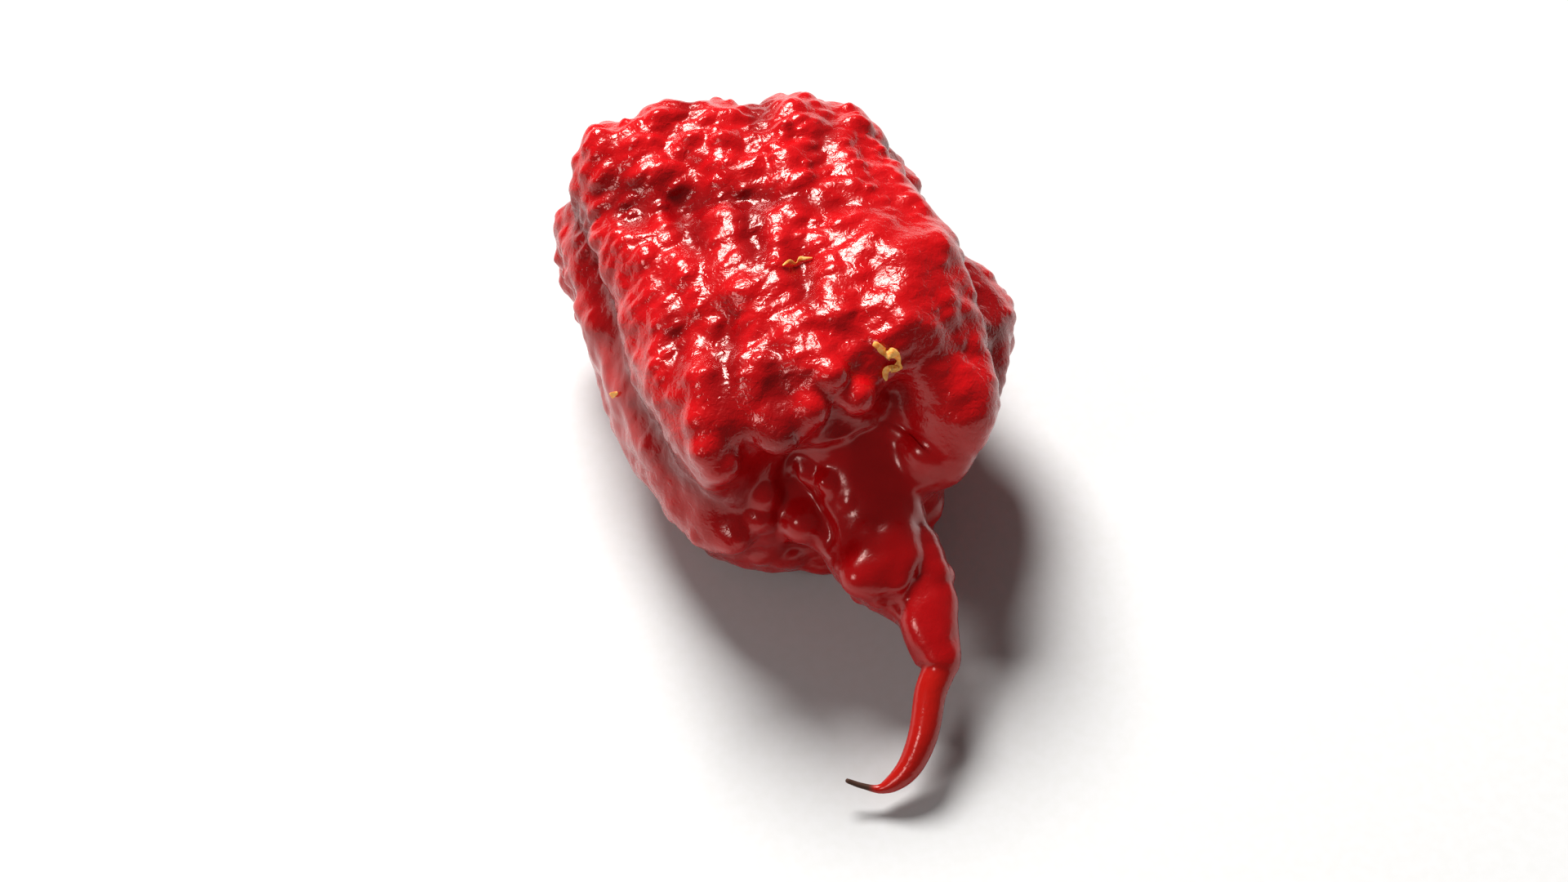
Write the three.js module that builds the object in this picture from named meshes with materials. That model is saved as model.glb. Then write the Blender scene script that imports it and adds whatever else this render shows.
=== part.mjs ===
// One carolina reaper pepper, picked and lying on its side: a squat, lobed and knobbly body with a
// short neck and a curved, pointed tail. It is grown as one piece, so it is one closed mesh.
// The body is a tube of rings from the stem end to the tip of the tail. Each ring sits on a bent line
// (SPINE) and has a radius read from an outline (OUTLINE); furrows, folds, swellings and knobs are pushed
// in or out of that surface. +Y points to the stem end, the tail points to -Y, and the pepper rests on
// a flat spot at z = 0. Everything is in millimetres and degrees.
import * as THREE from "three";

const SPACING = 1.12; // length of the mesh's edges, along and round
const RING_COUNTS = [7, 14, 28, 56, 112]; // a ring has one of these numbers of points
const SAMPLES = 4000; // points kept of each curve
const MIDDLE = new THREE.Vector3(1.81, -8.46, 0); // the middle of the pepper's box, on the floor

// Rows of [along, radius]: along runs from the middle of the body towards the tail. The outline starts on the
// axis in the dimple of the stem end, goes round the shoulder, over the body and its blunt nose, back
// in to the neck, and out along the tail.
const OUTLINE = [
  [-16.8, 0], [-17, 2], [-18.8, 4.6], [-20.7, 8], [-20.5, 12], [-17.6, 15.1], [-10, 16.7], [0, 16.9],
  [7, 16.2], [12, 14.6], [15, 12], [16, 9.2], [15.6, 7.2], [15.8, 5.6], [17.6, 4.7], [20.6, 4.4],
  [23.4, 3.8], [24.9, 3], [27.5, 2.5], [30.6, 1.95], [31.6, 1.5], [33.5, 1.38], [37, 1.28],
  [40.5, 1.05], [42.4, 0.75], [43.8, 0.4], [45, 0.27], [47, 0.2], [47.2, 0],
];
// Rows of [along, x, y, z]: the line through the middles of the rings.
const SPINE = [
  [-22, -1, 22, 14.8], [-14, -0.2, 14, 14.6], [-4, 0.9, 4, 14.4], [6, 1.4, -6, 14.1],
  [13, 1.9, -13, 12.6], [19, 2.9, -19.4, 10.8], [23, 3.7, -23.2, 9.7], [27, 4.1, -27, 8.7],
  [30.6, 4.5, -30.2, 7.6], [33.5, 3.1, -32.4, 6.6], [37, 1.6, -35.2, 5], [40.5, -0.3, -37, 3.2],
  [43.3, -2.6, -37.6, 2.2], [45.4, -4.3, -37, 2.4], [47.4, -5.8, -36.2, 3],
];
const SPINE_STEP = 0.05; // the length its direction is measured over
const STRAIGHT_TO = 17; // the rings stand upright as far as this along, and
const TURNED_FROM = 25; // from here on they stand square to the bent line

// The body's cross-section is a rounded square, a little lower than it is wide.
const SQUARENESS = 2.7;
const HEIGHT_SHARE = 0.88;
const SQUARE_FROM = [5, 11]; // thin rings are round, and square off between these radii
const NOSE_RADIUS = 7.5; // the nose is the furthest point of the outline outside this radius

// Furrows along the body: [angle at the stem, angle at the nose, depth at the stem, depth at the nose,
// half-width, wander in degrees]. Angle 0 is +X and 90 is up.
const FURROWS = [
  [33, 21, 2.8, 2.4, 2.3, 2], [158, 168, 1.9, 1.7, 2.4, 4], [302, 292, 2.4, 1.4, 3, 5],
  [214, 204, 1.6, 1.6, 2.4, 4], [252, 248, 1.2, 1.2, 2.2, 6], [342, 338, 1.4, 1.4, 2.2, 6],
  [124, 148, 0.8, 0.8, 1.6, 4], [98, 142, 1.1, 1, 1.8, 5], [72, 130, 1.1, 0.9, 1.8, 4],
  [52, 112, 0.8, 1, 1.6, 5],
];
// A furrow's first angle and depth hold at this along, and its last ones this much further.
const FURROWS_START = -21;
const FURROWS_LENGTH = 40;
const FURROW_FILL = 0.9; // in places a furrow is this much shallower, so that weak ones are broken:
const FILL_LENGTH = 2.4; // a sine wave of this length along it
const WANDER_LENGTH = 5; // a furrow wanders from side to side by a sine wave of this length
const FURROW_RADIUS = 6; // inside this radius a furrow no longer gets narrower
const FURROWS_IN = [5, 13]; // they fade in between these arc lengths of the outline,
const FURROWS_OUT = [-5, 2.5]; // and out between these, measured from the nose
// One crease runs across the upper side, behind the shoulder of the stem end: the angle of its middle,
// where it is along there, its slope per degree, its depth, half-width and half-length in degrees.
const CREASE = { about: 100, along: -7.4, slope: -0.115, depth: 0.9, width: 1.7, spread: 42 };
// Short folds, each pressed in along a straight line: [x, y, z, x, y, z, half-width, depth].
const FOLDS = [
  [6.3, -19.6, 13.4, 5, -24.6, 12.8, 1.2, 0.55], // beside the neck's cuff
  [5, -24.6, 12.8, 1.4, -26, 11, 1.1, 0.65], // under the cuff's edge
  [1.4, -26, 11, 0.6, -26.4, 8.4, 1.1, 0.25],
  [-2.6, -15.6, 15, -1.4, -18.6, 12.6, 1, 0.8], // between the lower lobe and the neck
  [2.6, -30, 8.6, 6, -29.4, 9.4, 0.8, 0.2], // where the tail starts
];
// Slow waves of the surface: [height, length, seed].
const WAVES = [[0.7, 17, 1.3], [0.4, 8, 4.1], [0.2, 4.6, 2.7]];
const WAVES_IN = [1.5, 8]; // they grow in between these radii
const ROLL_BEND = 1.7; // how far one wave bends the next,
const ROLL_BENDS = [0.71, 0.83, 0.77]; // how much longer the bends are than the waves,
const ROLL_SHIFTS = [0.9, 2.1, 3.3]; // and how the seed shifts the waves
// Swellings and hollows: [x, y, z, reach, push in x, y and z].
const SWELLINGS = [
  [-11, -13, 22, 4.6, -0.8, -1.6, 0.2], // the upper lobe's left nose, and
  [-10.4, -15.2, 20.6, 2.6, -0.4, -1.2, 0.1], // the lump that hangs from it
  [-7.4, -15.5, 21.6, 1.8, 0, 1.3, 0.7], // the dent beside it
  [-4.9, -15, 23, 1.8, 0, -1.1, 0], // the middle nose is two rounded lobes
  [-1.7, -14.6, 23.4, 1.8, 0, -1, 0],
  [0.9, -15.2, 22.6, 1.5, 0, 0.9, 0.4], // the next dent
  [3, -13.4, 24.2, 2.2, 0.2, -1.1, 0.2], // the small tongue over the notch, and
  [0.6, -12.4, 26.4, 2, 0, -0.9, 0.5], // the lump above it
  [6.2, -15.4, 21.4, 3.4, 0.2, 3, -0.8], // the notch beside the tongue
  [5.6, -16.4, 18.6, 2.4, 0, 1.8, 0],
  [5, -14.5, 23.5, 2.3, 0.4, 1.9, -0.6],
  [-3, -14.2, 19.4, 2.8, 0, 1.6, 0],
  [0.6, -15.2, 21.2, 2.4, 0, 2.1, 0],
  [3.2, -15.4, 20, 2.2, 0, 2, 0],
  [-4, -15.6, 17.4, 3.8, 0, 2.8, 0], // the crease under the noses
  [8.6, -14, 16.5, 4.8, 0, -3, -0.4], // the front of the right side, hanging over the neck
  [12.5, -12, 19, 4.4, 0.8, -2, 0.4],
  [6.8, -15, 17.6, 2.4, 0, -1, 0.2], // the round lump low on that front
  [17, 0, 15, 6.5, 2.8, -0.4, 0.4], // the right lobe, and
  [16, -6, 20, 1.9, 0.9, -0.5, 1], // the lump on top of it
  [18.4, 7.6, 18, 5.4, -2, 0.2, 0], // the dent behind it
  [17.6, 4.2, 19.2, 2.4, -1, 0, -0.3],
  [15, -11, 6, 7, -3, 3.4, 0.6], // its end, drawn in low down
  [-6, -13, 5, 6, -0.8, 1.4, 0.6], // the lower lobe's end, and
  [-9.4, -13.6, 10.6, 2.4, -0.4, -1.4, 0.2], // two lumps on it
  [-6.2, -14, 13, 1.7, 0, -1, 0.2],
  [-3, -15.6, 11.6, 1.9, -0.6, -1.6, 0.2], // two lumps beside the neck
  [-1, -16, 14, 1.4, -0.5, -1, 0.2],
  [0, -23, 11.6, 2.4, -0.5, -0.5, 0.7], // the cuff on the neck, and
  [1.2, -26.4, 8.2, 2.6, 0.7, 0.2, 0.4], // the narrower part below it
  [7, -25.8, 9.6, 3, 0.9, 0, 0.2],
  [11.5, 18, 21.5, 6, 1.2, -0.4, -0.4], // the right shoulder
  [-12, 17, 16, 6, -0.6, 0.8, 0], // the left shoulder
  [-14.5, -9, 9, 4.5, 0.1, 0.2, 0], // the lower lobe's left end
  [-17.2, 12.4, 12.4, 4.6, 1.9, 0, 0], // the dent behind its waist
  [11.6, -15, 10, 2.8, -0.8, 0.6, 0],
  [14, 14.6, 24, 3.8, 0.2, 0, 0], // the corners of the stem end, right
  [10.5, 18.5, 25, 3.4, -0.2, -0.4, -0.5],
  [-9.5, 18.5, 26, 4.6, -0.1, 0.3, 1.9], // and left
  [-4, 20, 27, 2.8, 0, 0, 1.4],
  [1.5, 20, 27, 2.2, 0, 0, -0.9],
  [-16, -4.5, 12, 5, 0.4, 0, 0], // its waist
  [-11.5, -10.8, 24.2, 5.6, -0.2, -0.2, 2], // the upper lobe stays level as far as its noses
  [-3.8, -11.8, 25.6, 5.6, 0, -0.2, 2.4],
  [4, -9, 27.4, 4, 0, 0, 0.8],
  [0.8, -7, 28.5, 2.1, 0, -0.4, 1.1], // three mounds on the upper lobe
  [-4.5, -1, 29, 3, 0, 0, 0.5],
  [10, -4, 27, 5, 0, 0, 1.6],
  [8.6, -9.4, 26.4, 3.8, 0, -0.4, 1.3], // the level patch on the right of it
  [12, -3.6, 24.6, 4, 0.4, 0, 0.9],
];
// Single lumps: [arc length along the outline, angle, half-length, half-width, height].
const LUMPS = [
  [46.1, 142, 2, 2, 0.8], [47.9, 144, 2.4, 2.4, 1], [49.7, 143, 2.4, 2.4, 1.2], // the left nose
  [50.6, 122, 3.6, 3.4, 1.5], [49.7, 108, 2.4, 2.4, 0.9], // the middle nose
  [49.2, 90, 2.4, 2.2, 1.1], [47.2, 95, 2.2, 2.2, 0.8], // the tongue and the lump behind it
  [50.9, 50, 6, 6, 1.1], [55.5, 54, 2.8, 2.8, 0.9], [53.3, 54, 2, 2, 0.5], // the right front
  [55.5, 161, 2.1, 2.1, 0.8], [58.4, 170, 2.3, 2.3, 0.9], [58, 138, 2.2, 1.5, 1.1], // the lower lobe's front
  [54.8, 172, 2, 2, 1], [52.6, 182, 2.6, 2.6, 1.2], [58.7, 126, 1.6, 1.4, 0.9],
  [64.1, 149, 3, 2.8, 0.8], // the neck's left side
];
// Rows of knobs over the whole body.
const KNOBS = { rows: 29, pitch: 2.9, seed: 7, long: 1.7, wide: 2, height: 0.46 };
const KNOBS_FROM = 6; // arc length along the outline where the knobs start,
const KNOBS_BEYOND = 2; // and how far they go on beyond the nose
const KNOBS_KEPT = 0.95; // the share of the knobs that is there, where the body is wide,
const KNOBS_RADIUS = 16; // and the radius below which there are fewer
const ROW_SWAY = 4; // a row starts up to this many degrees to one side,
const KNOB_SWAY = 0.28; // and a knob lies up to this share of a row's width beside its row
const KNOB_SIZES = [0.7, 1.3]; // the shares of the sizes given that knobs have: both half-sizes,
const KNOB_WIDTHS = [0.9, 1.15]; // the half-width besides,
const KNOB_HEIGHTS = [0.4, 1.3]; // the height,
const KNOB_PITCHES = [0.8, 1.25]; // and the distance to the next
const SHOULDER = { more: 0.45, from: -12, to: -4 }; // knobs on the stem end's shoulder are higher
const FURROW_CALM = 0.75; // share of a knob's height that goes where furrows are deepest
const KNOB_REACH = 2.2; // a knob matters within this many half-sizes along the outline,
const KNOB_THICKNESS = 1.6; // and within this many half-sizes above and below the surface
const UNION_POWER = 4; // how sharply neighbouring knobs stay apart
// Smoother patches of the skin: [x, y, z, reach, share of the knobs' height that goes].
const CALM = [
  [9.5, -13, 16.5, 6.5, 0.85], [8.5, -4, 28, 5, 0.5], [-6.5, -13.5, 8, 7.5, 0.6],
  [-4.8, -14.8, 14, 3, 0.85], [-12, -13, 20, 4.5, 0.6], [14, -6, 8, 8, 0.4], [0, 22, 14, 9, 0.7],
  [-17, 1, 14, 8, 0.8],
  [-2, -5, 29, 9, 0.25], [10, -4, 27, 5, 0.5], [-6, -15.5, 22, 6, 0.8], [3, -15.5, 22, 6, 0.8],
];
const FLAT_BLEND = 0.5; // the skin eases into the flat spot over this height

const NORMAL_STEP = 0.03; // the length along the outline, and
const NORMAL_TURN = 0.15; // the turn, that a surface's direction is measured over
const AHEAD_STEP = 0.1; // the length that a knob's own direction is measured over
const RING_SLACK = 1.02; // edges round a ring may be this much longer than the spacing

const RAD = Math.PI / 180;
const clamp = (x, low, high) => Math.min(Math.max(x, low), high);
const smooth = (x, [from, to]) => {
  const t = clamp((x - from) / (to - from), 0, 1);
  return t * t * (3 - 2 * t);
};
const signedTurn = (angle, about) => ((((angle - about + 180) % 360) + 360) % 360) - 180;

// One column of a table as the smooth curve through its rows.
function curveColumn(rows, column) {
  const points = rows.map((row, i) => new THREE.Vector2(i, row[column]));
  return new THREE.SplineCurve(points).getPoints(SAMPLES).map((point) => point.y);
}

// Linear reading of the list values at x, where the list keys rises.
function readAt(keys, values, x) {
  if (x <= keys[0]) return values[0];
  if (x >= keys[keys.length - 1]) return values[values.length - 1];
  let low = 0;
  let high = keys.length - 1;
  while (high - low > 1) {
    const middle = (low + high) >> 1;
    if (keys[middle] <= x) low = middle;
    else high = middle;
  }
  return values[low] + ((values[high] - values[low]) * (x - keys[low])) / (keys[high] - keys[low]);
}

const outlineAlong = curveColumn(OUTLINE, 0);
const outlineRadius = curveColumn(OUTLINE, 1);
const arcs = [0];
for (let i = 1; i <= SAMPLES; i++) {
  const step = [outlineAlong[i] - outlineAlong[i - 1], outlineRadius[i] - outlineRadius[i - 1]];
  arcs.push(arcs[i - 1] + Math.hypot(...step));
}
const LENGTH = arcs[SAMPLES];
const wide = outlineAlong.map((along, i) => (outlineRadius[i] > NOSE_RADIUS ? along : -Infinity));
const NOSE = arcs[wide.indexOf(Math.max(...wide))]; // arc length of the blunt end of the body
const alongAt = (arc) => readAt(arcs, outlineAlong, arc);
const radiusAt = (arc) => Math.max(readAt(arcs, outlineRadius, arc), 0);

const spineKeys = curveColumn(SPINE, 0);
const spineColumns = [1, 2, 3].map((column) => curveColumn(SPINE, column));
const spineAt = (along) =>
  new THREE.Vector3(...spineColumns.map((column) => readAt(spineKeys, column, along)));

// The directions that a ring at this along is drawn in: to its side, and up.
function ringDirections(along) {
  const bent = spineAt(along + SPINE_STEP).sub(spineAt(along - SPINE_STEP)).normalize();
  const turned = smooth(along, [STRAIGHT_TO, TURNED_FROM]);
  const tangent = new THREE.Vector3(0, -1, 0).lerp(bent, turned).normalize();
  const side = new THREE.Vector3(0, 0, 1).cross(tangent).normalize();
  return [side, tangent.clone().cross(side)];
}

// The plain surface: rings of the outline's radius round the spine, squared off on the body.
function plain(arc, angle) {
  const along = alongAt(arc);
  let radius = radiusAt(arc);
  const cos = Math.cos(angle * RAD);
  const sin = Math.sin(angle * RAD);
  const sum = Math.abs(cos) ** SQUARENESS + Math.abs(sin / HEIGHT_SHARE) ** SQUARENESS;
  radius *= 1 + smooth(radius, SQUARE_FROM) * (sum ** (-1 / SQUARENESS) - 1);
  const [side, up] = ringDirections(along);
  return spineAt(along).addScaledVector(side, radius * cos).addScaledVector(up, radius * sin);
}

// The outward normal of a surface, from small steps round it and along it.
function normalOf(surface, arc, angle) {
  const next = surface(Math.min(arc + NORMAL_STEP, LENGTH), angle);
  const round = surface(arc, angle + NORMAL_TURN).sub(surface(arc, angle - NORMAL_TURN));
  return round.cross(next.sub(surface(Math.max(arc - NORMAL_STEP, 0), angle))).normalize();
}

// Smooth rolling from -1 to 1: three crossed sine waves, each bent by the next.
function rolling(point, size, seed) {
  const turns = point.toArray().map((value) => (value * 2 * Math.PI) / size);
  const waves = turns.map((turn, i) => {
    const bend = ROLL_BEND * Math.sin(ROLL_BENDS[i] * turns[(i + 1) % 3] + (i + 1) * seed);
    return Math.sin(turn + bend + ROLL_SHIFTS[i] * seed);
  });
  return (waves[0] + waves[1] + waves[2]) / 3;
}

// How deep the furrows and the crease press in: a bell across each, fading at both ends of the body.
function furrowDepth(arc, angle) {
  const along = alongAt(arc);
  const share = clamp((along - FURROWS_START) / FURROWS_LENGTH, 0, 1);
  let furrow = 0;
  for (const [start, end, depthStart, depthEnd, width, wander] of FURROWS) {
    const middle = start + (end - start) * share + wander * Math.sin(along / WANDER_LENGTH + start);
    const away = signedTurn(angle, middle) * RAD * Math.max(radiusAt(arc), FURROW_RADIUS);
    const filled = FURROW_FILL * (0.5 + 0.5 * Math.sin(along / FILL_LENGTH + 2 * start));
    const depth = Math.max(depthStart + (depthEnd - depthStart) * share ** 2 - filled, 0);
    furrow += depth * Math.exp(-((away / width) ** 2));
  }
  const turn = signedTurn(angle, CREASE.about);
  const across = (along - CREASE.along - CREASE.slope * turn) / CREASE.width;
  furrow += CREASE.depth * Math.exp(-(across ** 2) - (turn / CREASE.spread) ** 2);
  return furrow * smooth(arc, FURROWS_IN) * (1 - smooth(arc - NOSE, FURROWS_OUT));
}

// How deep the short folds press in at a point: a bell across each line and round its two ends.
function foldDepth(point) {
  let depth = 0;
  for (const [ax, ay, az, bx, by, bz, width, deep] of FOLDS) {
    const line = new THREE.Line3(new THREE.Vector3(ax, ay, az), new THREE.Vector3(bx, by, bz));
    const nearest = line.closestPointToPoint(point, true, new THREE.Vector3());
    depth += deep * Math.exp(-((nearest.distanceTo(point) / width) ** 2));
  }
  return depth;
}

// The plain surface pressed in along its furrows and folds and rolled by slow waves, with its
// swellings pushed out and its hollows in, each fading as a bell.
function swollen(arc, angle) {
  const from = plain(arc, angle);
  let push = -furrowDepth(arc, angle) - foldDepth(from);
  for (const [height, size, seed] of WAVES)
    push += smooth(radiusAt(arc), WAVES_IN) * height * rolling(from, size, seed);
  const point = from.clone().addScaledVector(normalOf(plain, arc, angle), push);
  for (const [x, y, z, reach, ...move] of SWELLINGS) {
    const far = from.distanceTo(new THREE.Vector3(x, y, z)) / reach;
    point.addScaledVector(new THREE.Vector3(...move), Math.exp(-(far ** 2)));
  }
  return point;
}

// The share of their height that knobs keep at a point of the body.
const strength = (point) =>
  CALM.reduce((kept, [x, y, z, reach, share]) => {
    const far = point.distanceTo(new THREE.Vector3(x, y, z)) / reach;
    return kept * (1 - share * Math.exp(-(far ** 2)));
  }, 1);

// A repeatable source of numbers between low and high: a linear congruential generator.
const LCG = { times: 1664525, plus: 1013904223, modulus: 2 ** 32 };
function numbersFrom(seed) {
  let state = seed;
  return (low = 0, high = 1) => {
    state = (LCG.times * state + LCG.plus) % LCG.modulus;
    return low + ((high - low) * state) / LCG.modulus;
  };
}

// Knobs in uneven rows along the body, each with its place, its two half-sizes and its height.
function knobsOf({ rows, pitch, seed, long, wide, height }) {
  const draw = numbersFrom(seed);
  const found = [];
  for (let row = 0; row < rows; row++) {
    const middle = (360 * row) / rows + draw(-ROW_SWAY, ROW_SWAY);
    let arc = KNOBS_FROM + draw(0, pitch);
    while (arc < NOSE + KNOBS_BEYOND) {
      const there = draw() < Math.min(KNOBS_KEPT, radiusAt(arc) / KNOBS_RADIUS);
      const angle = middle + (draw(-KNOB_SWAY, KNOB_SWAY) * 360) / rows;
      const size = draw(...KNOB_SIZES);
      const shoulder = 1 + SHOULDER.more * (1 - smooth(alongAt(arc), [SHOULDER.from, SHOULDER.to]));
      const furrow = 1 - FURROW_CALM * smooth(furrowDepth(arc, angle), [0, 1]);
      const kept = strength(plain(arc, angle)) * shoulder * furrow;
      const high = height * draw(...KNOB_HEIGHTS) * kept;
      const across = wide * size * draw(...KNOB_WIDTHS);
      if (there) found.push([arc, angle, long * size, across, high]);
      arc += pitch * draw(...KNOB_PITCHES);
    }
  }
  return found;
}

// A knob or lump with its place on the swollen surface and the directions it lies in there.
function placed([arc, angle, long, wide, high]) {
  const centre = swollen(arc, angle);
  const normal = normalOf(swollen, arc, angle);
  const ahead = swollen(arc + AHEAD_STEP, angle).sub(swollen(arc - AHEAD_STEP, angle)).normalize();
  const across = normal.clone().cross(ahead);
  return { arc, centre, normal, ahead, across, long, wide, high };
}

// The height of the knobs at a point: low domes, joined so that creases stay between them.
function knobHeight(knobs, point, arc) {
  let total = 0;
  for (const knob of knobs) {
    const size = Math.max(knob.long, knob.wide);
    if (Math.abs(knob.arc - arc) > KNOB_REACH * size) continue;
    const away = point.clone().sub(knob.centre);
    const far =
      (away.dot(knob.ahead) / knob.long) ** 2 +
      (away.dot(knob.across) / knob.wide) ** 2 +
      (away.dot(knob.normal) / (KNOB_THICKNESS * size)) ** 2;
    if (far < 1) total += ((1 - far) ** 2 * knob.high) ** UNION_POWER;
  }
  return total ** (1 / UNION_POWER);
}

// The underside pressed flat at z = 0, easing in over FLAT_BLEND.
function settled(point) {
  const { z } = point;
  if (z < FLAT_BLEND) point.z = z < -FLAT_BLEND ? 0 : (z + FLAT_BLEND) ** 2 / (4 * FLAT_BLEND);
  return point.sub(MIDDLE);
}

// The rings: evenly spaced along the outline, each with as many points as its girth needs, and no
// more than twice as many as its neighbours.
function ringPlan() {
  const steps = Math.round(LENGTH / SPACING);
  const most = RING_COUNTS[RING_COUNTS.length - 1];
  const rings = [];
  for (let i = 1; i < steps; i++) {
    const arc = (LENGTH * i) / steps;
    const girth = 2 * Math.PI * radiusAt(arc);
    rings.push({ arc, count: RING_COUNTS.find((n) => girth / n <= SPACING * RING_SLACK) ?? most });
  }
  for (let i = 1; i < rings.length; i++)
    rings[i].count = Math.min(rings[i].count, rings[i - 1].count * 2);
  for (let i = rings.length - 2; i >= 0; i--)
    rings[i].count = Math.min(rings[i].count, rings[i + 1].count * 2);
  return rings;
}

// Triangles between two neighbouring rings of equal counts, or of which one has twice the other's.
function strip(a, b) {
  const triangles = [];
  const few = Math.min(a.count, b.count);
  for (let k = 0; k < few; k++) {
    const l = (k + 1) % few;
    if (a.count === b.count) {
      triangles.push([a.start + k, a.start + l, b.start + l], [a.start + k, b.start + l, b.start + k]);
    } else if (a.count > b.count) {
      const [first, half, next] = [a.start + 2 * k, a.start + 2 * k + 1, a.start + 2 * l];
      triangles.push([first, half, b.start + k], [half, b.start + l, b.start + k]);
      triangles.push([half, next, b.start + l]);
    } else {
      const [first, half, next] = [b.start + 2 * k, b.start + 2 * k + 1, b.start + 2 * l];
      triangles.push([a.start + k, half, first], [a.start + k, a.start + l, half]);
      triangles.push([a.start + l, next, half]);
    }
  }
  return triangles;
}

function pepperGeometry() {
  const knobs = [...knobsOf(KNOBS), ...LUMPS].map(placed);
  const rings = ringPlan();
  const points = [];
  for (const ring of rings) {
    ring.start = points.length;
    for (let k = 0; k < ring.count; k++) {
      const angle = (360 * k) / ring.count;
      const point = swollen(ring.arc, angle);
      const high = knobHeight(knobs, point, ring.arc);
      points.push(settled(point.addScaledVector(normalOf(swollen, ring.arc, angle), high)));
    }
  }
  const triangles = rings.slice(1).flatMap((ring, i) => strip(rings[i], ring));
  // The two ends close on a point each: the bottom of the dimple and the tip of the tail.
  const last = rings[rings.length - 1];
  const dimple = points.push(settled(swollen(0, 0))) - 1;
  const tip = points.push(settled(swollen(LENGTH, 0))) - 1;
  for (let k = 0; k < rings[0].count; k++) triangles.push([(k + 1) % rings[0].count, k, dimple]);
  for (let k = 0; k < last.count; k++)
    triangles.push([last.start + k, last.start + ((k + 1) % last.count), tip]);
  const geometry = new THREE.BufferGeometry().setFromPoints(points);
  geometry.setIndex(triangles.flat());
  geometry.computeVertexNormals();
  return geometry;
}

const skin = new THREE.MeshStandardMaterial({ color: 0xb5121b, roughness: 0.3, metalness: 0 });

const pepper = new THREE.Mesh(pepperGeometry(), skin);
pepper.name = "pepper";

const part = new THREE.Group();
part.add(pepper);

export default part;
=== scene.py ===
import math

import bpy
import numpy as np
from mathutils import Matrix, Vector


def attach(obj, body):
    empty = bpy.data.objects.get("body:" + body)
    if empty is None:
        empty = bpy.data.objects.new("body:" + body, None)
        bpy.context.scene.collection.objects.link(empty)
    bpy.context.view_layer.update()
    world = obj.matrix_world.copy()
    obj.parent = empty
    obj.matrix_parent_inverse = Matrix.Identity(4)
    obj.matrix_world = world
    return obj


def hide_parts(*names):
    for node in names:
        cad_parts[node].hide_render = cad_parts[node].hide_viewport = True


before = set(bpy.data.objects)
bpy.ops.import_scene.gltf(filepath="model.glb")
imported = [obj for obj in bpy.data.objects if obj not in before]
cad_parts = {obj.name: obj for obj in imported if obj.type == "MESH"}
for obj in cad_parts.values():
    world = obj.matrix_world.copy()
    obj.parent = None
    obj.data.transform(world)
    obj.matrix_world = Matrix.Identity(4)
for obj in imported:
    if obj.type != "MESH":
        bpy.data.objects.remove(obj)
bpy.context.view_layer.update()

# One carolina reaper pepper, lying on its side: a squat, lobed and knobbly body with a short neck and
# a curved, pointed tail. The skin is worked out from the same outline, bent line, furrows, folds,
# swellings, lumps and knobs as the solid, on a finer grid, with small beads, crosswise wrinkles and
# the puckers of the stem end added. Lengths in this file are in millimetres and angles in degrees,
# until MM turns them into metres.
MM = 0.001
MIDDLE = np.array([1.81, -8.46, 0])  # the middle of the pepper's box, on the floor

# The camera's direction and framing, as the photograph has them.
CAMERA_AZIMUTH = -17
CAMERA_ELEVATION = 55
CAMERA_TARGET = np.array([-2.2, -7.1, 12.0])
CAMERA_DISTANCE = 320
VIEW_WIDTH = 137.6  # width of the picture at the target
SENSOR_WIDTH = 36
CAMERA_NEAREST = 10  # nothing nearer to the camera than this is drawn


# The shape

SAMPLES = 4000  # points kept of each curve
SPACING = 0.27  # length of the skin mesh's edges, along and round
RING_COUNTS = (13, 26, 52, 104, 208, 416)  # a ring has one of these numbers of points

# (along, radius): along runs from the middle of the body towards the tail. The outline starts on the
# axis in the dimple of the stem end, goes round the shoulder, over the body and its blunt nose, back
# in to the neck, and out along the tail.
OUTLINE = (
    (-16.8, 0), (-17, 2), (-18.8, 4.6), (-20.7, 8), (-20.5, 12), (-17.6, 15.1), (-10, 16.7), (0, 16.9),
    (7, 16.2), (12, 14.6), (15, 12), (16, 9.2), (15.6, 7.2), (15.8, 5.6), (17.6, 4.7), (20.6, 4.4),
    (23.4, 3.8), (24.9, 3), (27.5, 2.5), (30.6, 1.95), (31.6, 1.5), (33.5, 1.38), (37, 1.28),
    (40.5, 1.05), (42.4, 0.75), (43.8, 0.4), (45, 0.27), (47, 0.2), (47.2, 0),
)
# (along, x, y, z): the line through the middles of the rings.
SPINE = (
    (-22, -1, 22, 14.8), (-14, -0.2, 14, 14.6), (-4, 0.9, 4, 14.4), (6, 1.4, -6, 14.1),
    (13, 1.9, -13, 12.6), (19, 2.9, -19.4, 10.8), (23, 3.7, -23.2, 9.7), (27, 4.1, -27, 8.7),
    (30.6, 4.5, -30.2, 7.6), (33.5, 3.1, -32.4, 6.6), (37, 1.6, -35.2, 5), (40.5, -0.3, -37, 3.2),
    (43.3, -2.6, -37.6, 2.2), (45.4, -4.3, -37, 2.4), (47.4, -5.8, -36.2, 3),
)
SPINE_STEP = 0.05  # its direction is measured over this length to both sides
STRAIGHT_TO = 17  # the rings stand upright as far as this along, and
TURNED_FROM = 25  # from here on they stand square to the bent line

# The body's cross-section is a rounded square, a little lower than it is wide.
SQUARENESS = 2.7
HEIGHT_SHARE = 0.88
SQUARE_FROM = (5, 11)  # thin rings are round, and square off between these radii
NOSE_RADIUS = 7.5  # the nose is the furthest point of the outline outside this radius

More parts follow.
